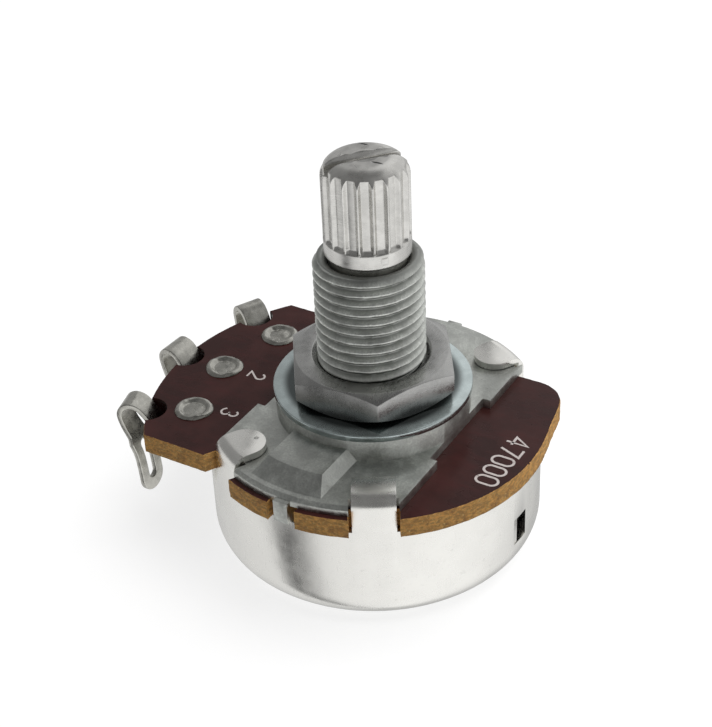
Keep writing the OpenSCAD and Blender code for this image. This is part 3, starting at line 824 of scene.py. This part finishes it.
def at_length(points, lengths, length):
    """Point and direction of the curve at a length along it, with the twist."""
    length = min(max(length, 0.0), lengths[-1])
    i = next((k for k, value in enumerate(lengths) if value >= length), len(lengths) - 1)
    i = max(i, 1)
    t = (length - lengths[i - 1]) / max(lengths[i] - lengths[i - 1], 1e-9)
    point = points[i - 1].lerp(points[i], t)
    ahead = points[min(i + 1, len(points) - 1)].xy - points[max(i - 2, 0)].xy
    return point, ahead.normalized()


def lug_blank(total, neck, width, eye_width):
    """The flat lug before it is bent: x along it, y across, z through it, in millimetres."""
    half, eye = width / 2, eye_width / 2
    low = total - eye
    ring = [(0, -half), (neck - 0.5, -half), (neck, -eye)]
    ring += arc(low, 0, eye, eye, -90, 90, 20)
    ring += [(neck, eye), (neck - 0.5, half), (0, half)]
    slot_r = EYELET_SLOT / 2
    slot_low, slot_high = low - SLOT_BACK[0], neck + SLOT_BACK[1]
    slot = arc(slot_low, 0, slot_r, slot_r, -90, 90, 12)
    slot += arc(slot_high, 0, slot_r, slot_r, 90, 270, 12)
    bm = bmesh.new()
    rings = [[bm.verts.new((x, y, -LUG_THICK / MM / 2)) for x, y in outline]
             for outline in (ring, slot)]
    fill_rings(bm, rings)
    made = bmesh.ops.extrude_face_region(bm, geom=bm.faces[:])
    for vert in (v for v in made["geom"] if isinstance(v, bmesh.types.BMVert)):
        vert.co.z += LUG_THICK / MM
    bmesh.ops.recalc_face_normals(bm, faces=bm.faces)
    soften(bm, 0.07, 60, 3)
    x = BEND_CUT
    while x < total:
        bmesh.ops.bisect_plane(bm, geom=bm.verts[:] + bm.edges[:] + bm.faces[:], dist=1e-5,
                               plane_co=(x, 0, 0), plane_no=(1, 0, 0))
        x += BEND_CUT if x > FLAT_LENGTH else FLAT_CUT
    return bm


def bent_lug(place, angle, knots, width, eye_width):
    """Bends the flat lug along its line, which leaves the rivet at an angle."""
    points, lengths = smooth_line(knots)
    rivet = Vector((*place, 0))
    out = Vector((math.cos(math.radians(angle)), math.sin(math.radians(angle)), 0))
    side = Vector((-out.y, out.x, 0))
    up = Vector((0, 0, 1))
    bm = lug_blank(lengths[-1], lengths[-1] - EYELET_LENGTH, width, eye_width)
    for vert in bm.verts:
        point, ahead = at_length(points, lengths, vert.co.x)
        twist = math.radians(point.z)
        forward = out * ahead.x + up * ahead.y
        across = side * math.cos(twist) + out * math.sin(twist)
        across = (across - forward * across.dot(forward)).normalized()
        face = across.cross(forward)
        centre = rivet + out * point.x + up * point.y
        vert.co = (centre + across * vert.co.y + face * vert.co.z) * MM
    return bm


class POT_OT_lugs(bpy.types.Operator):
    """Makes the three curled solder lugs"""

    bl_idname = "pot.lugs"
    bl_label = "Lugs"

    def execute(self, context):
        finish = solder_tin("tinned_lug")
        lines = (LUG_LINE, LUG_LINE, THIRD_LUG_LINE)
        for i, ((place, angle), line, widths) in enumerate(zip(LUG_PLACES, lines, LUG_WIDTHS)):
            bm = bent_lug(place, angle, line, *widths)
            add_piece(bm, f"solder_lug_{i + 1}", ROOT, [finish],
                      [f"lug_{i + 1}"], 40)
        return {"FINISHED"}


class POT_OT_rivets(bpy.types.Operator):
    """Makes the three crimped rivets"""

    bl_idname = "pot.rivets"
    bl_label = "Rivets"

    def execute(self, context):
        finish = solder_tin("tinned_rivet", 0.85, -0.06)
        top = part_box("board")[1].z
        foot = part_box("rivet_1")[0].z
        tail_top = foot + 0.35 * MM
        profile = [(0.02, 0.10), (0.25, 0.10), (0.50, 0.09), (0.68, 0.06), (0.80, 0.05),
                   (0.88, 0.09), (0.95, 0.16), (1.03, 0.21), (1.12, 0.235), (1.21, 0.225),
                   (1.30, 0.18), (1.38, 0.11), (1.42, 0.04), (1.40, 0.0)]
        head = [(r * MM, top + z * MM) for r, z in profile]
        shank = [(0.69 * MM, top), (0.69 * MM, tail_top), (1.05 * MM, tail_top),
                 (1.09 * MM, foot + 0.2 * MM), (0.95 * MM, foot), (0.6 * MM, foot + 0.02 * MM),
                 (0.35 * MM, foot + 0.2 * MM), (0.02 * MM, foot + 0.28 * MM)]
        for i, (place, _) in enumerate(LUG_PLACES):
            low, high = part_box(f"rivet_{i + 1}")
            centre = (low + high) / 2
            off = Vector((*place, 0)) * MM - Vector((centre.x, centre.y, 0))

            def crimp(r, z, a, start=i * 1.3):
                share = max(0.0, 1 - abs(r / MM - 1.1) / 0.3) if z > top - 0.1 * MM else 0.0
                lobe = 0.035 * math.cos(5 * a + start) * share
                place = Vector((r * math.cos(a), r * math.sin(a), i * MM))
                grain = noise.noise(place / (0.28 * MM))
                if z > top + 0.01 * MM:
                    z += (lobe + 0.035 * grain * min(1.0, r / (0.3 * MM))) * MM
                    r *= 1 + 0.015 * math.sin(3 * a + start)
                return r, z

            bm = bmesh.new()
            lathe(bm, centre, head + shank, 64, crimp)
            # The head may have set a little off its hole
            for vert in bm.verts:
                if vert.co.z > top - 0.06 * MM and (vert.co - centre).xy.length > 0.72 * MM or (
                        vert.co.z > top + 0.0001 * MM):
                    vert.co += off
            add_piece(bm, f"crimped_rivet_{i + 1}", ROOT, [finish],
                      [f"rivet_{i + 1}"], 50)
        return {"FINISHED"}


# ---------------------------------------- washer, nut and shaft


NUT_TOP_WEAR = 0.84
NUT_RISE = 0.4 * MM
NUT_TURN = math.radians(3.5)
NUT_FOOT_WEAR = 1.35
# Radius where the painted shade round the nut ends on the washer
WASHER_SHADE_EDGE = 6.6 * MM


class POT_OT_fasteners(bpy.types.Operator):
    """Makes the flat washer and the hexagon nut"""

    bl_idname = "pot.fasteners"
    bl_label = "Washer and nut"

    def execute(self, context):
        bm = solid_copy("washer")
        soften(bm, 0.08 * MM, 30, 3)
        zinc = plated_steel("zinc_plate", tuple(colours().zinc), 0.16, 0.26, 1, WASHER_SHADE_EDGE)
        add_piece(bm, "flat_washer", ROOT, [zinc], ["washer"])
        bm = solid_copy("nut")
        low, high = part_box("nut")
        for vert in bm.verts:
            # The lower corners are worn more than the upper ones
            if vert.co.z > (low.z + high.z) / 2:
                vert.co.z = high.z + NUT_RISE - (high.z - vert.co.z) * NUT_TOP_WEAR
            else:
                vert.co.z = low.z + (vert.co.z - low.z) * NUT_FOOT_WEAR
        bmesh.ops.transform(bm, matrix=Matrix.Rotation(NUT_TURN, 4, "Z"), verts=bm.verts)
        soften(bm, 0.09 * MM, 12, 3)
        nickel = plated_steel("nickel_plate", tuple(colours().nickel), 0.22, 0.34, 3)
        add_piece(bm, "panel_nut", ROOT, [nickel], ["nut"], 28)
        return {"FINISHED"}


GRIP_R = 3.0 * MM
NECK_R = 2.75 * MM
COLLAR_LOW = 23.07 * MM
COLLAR_TOP = 24.27 * MM
JOURNAL_CUT = 22.0 * MM
END_REACH = 1.4 * MM
END_DROP = 1.3 * MM
SPLINES = 18
FLUTE_DEPTH = 0.29 * MM
FLUTE_FLOOR = 0.28 * MM
FLUTE_EDGE = 0.475 * MM
SLOT_ANGLE = math.radians(138)
SLOT_WIDTH = 1.0 * MM
SLOT_DEPTH = 0.9 * MM
COLLAR_CHAMFER = 0.12 * MM
COLLAR_NICK = (math.radians(53), 23.72 * MM)
NICK_REACH = 0.28 * MM
NICK_DEPTH = 0.05 * MM
FLUTE_SOFT = 0.012 * MM


def flute_radius(angle):
    """Radius of the flat-bottomed flutes between the splines."""
    step = math.tau / SPLINES
    across = abs(angle / step - math.floor(angle / step) - 0.5) * step * GRIP_R
    rise = min(max((across - FLUTE_FLOOR) / (FLUTE_EDGE - FLUTE_FLOOR), 0), 2)
    return GRIP_R - FLUTE_DEPTH * (1 - rise * (0.6 + 0.4 * rise))


def grip_row(bm, radius, z, cut, around=648):
    """One ring of the grip; cut is how far the flutes are let in, from 0 to 1."""
    row = []
    for i in range(around):
        angle = math.tau * i / around
        flute = flute_radius(angle)
        fluted = radius
        if cut:
            # The edges of the flutes are a little worn
            high, low = max(radius, flute), min(radius, flute)
            fluted = low - FLUTE_SOFT * math.log(1 + math.exp(-(high - low) / FLUTE_SOFT))
        r = radius + (fluted - radius) * cut
        turn = (angle - COLLAR_NICK[0]) * GRIP_R
        nick = max(abs(turn), abs(z - COLLAR_NICK[1])) / NICK_REACH
        if not cut and nick < 1:
            r -= NICK_DEPTH * min(1.0, 4 * (1 - nick))
        row.append(bm.verts.new((r * math.cos(angle), r * math.sin(angle), z)))
    return row


def splined_grip(top):
    """The upper part of the shaft with its flutes and rounded end, still without the slot."""
    flat = GRIP_R - END_REACH
    start = top - END_DROP
    profile = [(NECK_R, JOURNAL_CUT, 0), (NECK_R, COLLAR_LOW - 0.03 * MM, 0),
               (NECK_R, COLLAR_LOW, 0), (GRIP_R - COLLAR_CHAMFER, COLLAR_LOW, 0),
               (GRIP_R, COLLAR_LOW + COLLAR_CHAMFER, 0)]
    steps = 12
    low, high = COLLAR_LOW + COLLAR_CHAMFER, COLLAR_TOP - 0.05 * MM
    profile += [(GRIP_R, low + (high - low) * k / steps, 0) for k in range(1, steps + 1)]
    profile += [(GRIP_R - 0.03 * MM, COLLAR_TOP - 0.01 * MM, 0),
                (GRIP_R, COLLAR_TOP + 0.01 * MM, 1)]
    profile += [(GRIP_R, COLLAR_TOP + (start - COLLAR_TOP) * k / 12, 1) for k in range(1, 13)]
    for k in range(4, 29):
        turn = math.pi / 2 * k / 28
        profile.append((flat + END_REACH * math.cos(turn), start + END_DROP * math.sin(turn), 1))
    profile += [(flat * 0.6, top, 0), (flat * 0.2, top, 0)]
    bm = bmesh.new()
    rows = [grip_row(bm, *item) for item in profile]
    close_rows(bm, rows)
    bm.faces.new(rows[0])
    bm.faces.new(rows[-1])
    bmesh.ops.recalc_face_normals(bm, faces=bm.faces)
    return bm


def slotted(bm, top):
    """The shaft's end with the screwdriver slot milled across it."""
    solid = bpy.data.meshes.new("blank")
    bm.to_mesh(solid)
    bm.free()
    tool_mesh = bpy.data.meshes.new("mill")
    tool = bmesh.new()
    bmesh.ops.create_cube(tool, size=1, matrix=Matrix.Rotation(SLOT_ANGLE, 4, "Z")
                          @ Matrix.Diagonal((8 * MM, SLOT_WIDTH, 2 * SLOT_DEPTH, 1)))
    tool.to_mesh(tool_mesh)
    tool.free()
    blank = bpy.data.objects.new("blank", solid)
    mill = bpy.data.objects.new("mill", tool_mesh)
    mill.location.z = top
    for item in (blank, mill):
        bpy.context.scene.collection.objects.link(item)
    step = blank.modifiers.new("slot", "BOOLEAN")
    step.object = mill
    step.solver = "EXACT"
    bpy.context.view_layer.update()
    shape = blank.evaluated_get(bpy.context.evaluated_depsgraph_get())
    cut = bmesh.new()
    cut.from_mesh(shape.to_mesh())
    for item in (blank, mill):
        bpy.data.objects.remove(item)
    return cut


class POT_OT_shaft(bpy.types.Operator):
    """Makes the splined shaft"""

    bl_idname = "pot.shaft"
    bl_label = "Shaft"

    def execute(self, context):
        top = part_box("shaft")[1].z
        grip = slotted(splined_grip(top), top)
        lower = solid_copy("shaft")
        cut_at(lower, JOURNAL_CUT)
        journal = bpy.data.meshes.new("journal")
        lower.to_mesh(journal)
        lower.free()
        grip.from_mesh(journal)
        add_piece(grip, "splined_shaft", ROTOR, [satin_alloy()], ["shaft"], 48)
        return {"FINISHED"}


class POT_OT_inside(bpy.types.Operator):
    """Gives the pieces inside the cover their finishes"""

    bl_idname = "pot.inside"
    bl_label = "Inner parts"

    def execute(self, context):
        steel = plated_steel("inner_steel", (0.55, 0.55, 0.54, 1), 0.25, 0.4, 2)
        silver = plated_steel("silver_ink", (0.72, 0.71, 0.68, 1), 0.4, 0.55, 1)
        brass = plated_steel("thrust_brass", (0.72, 0.52, 0.24, 1), 0.25, 0.4, 1)
        bronze = plated_steel("spring_bronze", (0.66, 0.42, 0.24, 1), 0.22, 0.36, 3)
        finishes = {
            "resistive_track": carbon_film(), "collector_ring": silver, "track_pad_1": silver,
            "track_pad_3": silver, "retaining_clip": steel, "stop_plate": steel,
            "thrust_washer": brass, "wiper": bronze, "wiper_carrier": phenolic_disc(),
        }
        for node, finish in finishes.items():
            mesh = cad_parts[node].data
            mesh.materials.clear()
            mesh.materials.append(finish)
        return {"FINISHED"}


# ---------------------------------------- stage


# Brightness of the studio by azimuth in degrees, below and above the horizon
LOWER_RING = (
    (-180, 0.53), (-148, 0.50), (-110, 0.62), (-82, 0.70), (-60, 0.76), (-42, 0.84), (-38, 0.22),
    (-28, 0.08), (-18, 0.40), (-6, 0.85), (32, 0.92), (60, 1.0), (93, 1.0), (129, 0.83),
    (170, 0.50), (180, 0.50),
)
UPPER_RING = (
    (-180, 0.78), (-154, 0.82), (-151, 0.50), (-149, 0.10), (-147, 0.30), (-143, 0.45),
    (-130, 0.42), (-112, 0.26), (-60, 0.22), (0, 0.18), (32, 0.16), (90, 0.35), (150, 0.75),
    (180, 0.78),
)
ZENITH = 0.15
# Heights on the unit sphere over which one zone blends into the next
HORIZON = (-0.06, 0.10)
ZENITH_EDGE = (0.80, 0.97)
FLOOR_GREY = 0.35
FLOOR_GLOW = 0.75
FLOOR_DROP = 0.02 * MM


def studio_world():
    """A white room with soft darker areas, which metal needs to read as metal."""
    world = bpy.data.worlds.new("studio")
    bpy.context.scene.world = world
    world.use_nodes = True
    n = Nodes(world.node_tree)

    def blend(share, first, second):
        return n.maths("ADD", first, n.maths("MULTIPLY", share, n.maths("SUBTRACT", second, first)))

    def ring(turn, stops):
        ramp = n.node("ShaderNodeValToRGB")
        n.link(turn, ramp.inputs["Fac"])
        elements = ramp.color_ramp.elements
        while len(elements) < len(stops):
            elements.new(0.5)
        for element, (angle, value) in zip(elements, stops):
            element.position = angle / 360 + 0.5
            element.color = (value, value, value, 1)
        return ramp.outputs["Color"]

    split = n.node("ShaderNodeSeparateXYZ")
    n.link(n.node("ShaderNodeTexCoord").outputs["Generated"], split.inputs["Vector"])
    x, y, z = (split.outputs[axis] for axis in "XYZ")
    turn = n.maths("ADD", n.maths("DIVIDE", n.maths("ARCTAN2", y, x), math.tau), 0.5)
    light = blend(n.span(z, *HORIZON), ring(turn, LOWER_RING), ring(turn, UPPER_RING))
    light = blend(n.span(z, *ZENITH_EDGE), light, ZENITH)
    camera = n.node("ShaderNodeLightPath").outputs["Is Camera Ray"]
    n.link(blend(camera, light, 1.0), n.tree.nodes["Background"].inputs["Color"])


def soft_lamp(name, place, aim, size, watts):
    """A large lamp that only lifts the level of dull surfaces."""
    data = bpy.data.lights.new(name, "AREA")
    data.size = size
    data.energy = watts
    lamp = bpy.data.objects.new(name, data)
    lamp.location = place
    lamp.rotation_euler = (Vector(aim) - Vector(place)).to_track_quat("-Z", "Y").to_euler()
    lamp.visible_glossy = False
    bpy.context.scene.collection.objects.link(lamp)


def pale_floor():
    """A floor that the camera sees as white, apart from the part's shadow."""
    bm = bmesh.new()
    bmesh.ops.create_grid(bm, x_segments=1, y_segments=1, size=1.5)
    mesh = bpy.data.meshes.new("floor")
    bm.to_mesh(mesh)
    bm.free()
    floor = bpy.data.objects.new("floor", mesh)
    bpy.context.scene.collection.objects.link(floor)
    floor.location.z = -FLOOR_DROP
    floor.visible_glossy = False
    material = bpy.data.materials.new("pale_floor")
    material.use_nodes = True
    n = Nodes(material.node_tree)
    shader = n.tree.nodes["Principled BSDF"]
    shader.inputs["Base Color"].default_value = (FLOOR_GREY, FLOOR_GREY, FLOOR_GREY, 1)
    shader.inputs["Roughness"].default_value = 0.9
    shader.inputs["Emission Color"].default_value = (1, 1, 1, 1)
    camera = n.node("ShaderNodeLightPath").outputs["Is Camera Ray"]
    n.link(n.maths("MULTIPLY", camera, FLOOR_GLOW), shader.inputs["Emission Strength"])
    mesh.materials.append(material)


def photo_camera():
    """The camera that took the photograph."""
    data = bpy.data.cameras.new("camera")
    camera = bpy.data.objects.new("camera", data)
    bpy.context.scene.collection.objects.link(camera)
    right = Vector((-0.508, 0.8605, -0.0375))
    up = Vector((-0.4958, -0.2565, 0.8297))
    back = Vector((0.7044, 0.4401, 0.5569))
    matrix = Matrix((right, up, back)).transposed().to_4x4()
    matrix.translation = Vector((83.651, 50.905, 79.555)) * MM
    camera.matrix_world = matrix
    data.lens = 82.811
    data.sensor_width = 36
    data.clip_start = 0.001
    data.clip_end = 10
    bpy.context.scene.camera = camera


class POT_OT_stage(bpy.types.Operator):
    """Sets up the floor, the lights and the camera"""

    bl_idname = "pot.stage"
    bl_label = "Stage"

    def execute(self, context):
        studio_world()
        pale_floor()
        soft_lamp("top_lamp", (-0.10, 0.12, 0.45), (0, 0, 0.01), 0.4, 1.6)
        photo_camera()
        context.scene.view_settings.view_transform = "Standard"
        return {"FINISHED"}


# ---------------------------------------- panel and start


OPERATORS = (
    POT_OT_stage, POT_OT_cover, POT_OT_plate, POT_OT_board, POT_OT_print, POT_OT_lugs,
    POT_OT_rivets, POT_OT_fasteners, POT_OT_shaft, POT_OT_inside,
)


class POT_PT_panel(bpy.types.Panel):
    """Lists the pieces of the potentiometer"""

    bl_idname = "POT_PT_panel"
    bl_label = "Potentiometer"
    bl_space_type = "VIEW_3D"
    bl_region_type = "UI"
    bl_category = "Potentiometer"

    def draw(self, context):
        layout = self.layout
        for group in (context.scene.pot_sizes, context.scene.pot_colours):
            box = layout.box()
            for name in group.__annotations__:
                box.prop(group, name)
        for operator in OPERATORS:
            layout.operator(operator.bl_idname)


CLASSES = (POT_PG_sizes, POT_PG_colours, *OPERATORS, POT_PT_panel)


def register():
    for item in CLASSES:
        bpy.utils.register_class(item)
    bpy.types.Scene.pot_sizes = bpy.props.PointerProperty(type=POT_PG_sizes)
    bpy.types.Scene.pot_colours = bpy.props.PointerProperty(type=POT_PG_colours)


def unregister():
    del bpy.types.Scene.pot_colours
    del bpy.types.Scene.pot_sizes
    for item in reversed(CLASSES):
        bpy.utils.unregister_class(item)


def main():
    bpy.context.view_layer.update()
    register()
    for operator in OPERATORS:
        group, name = operator.bl_idname.split(".")
        getattr(getattr(bpy.ops, group), name)()


if __name__ == "__main__":
    main()
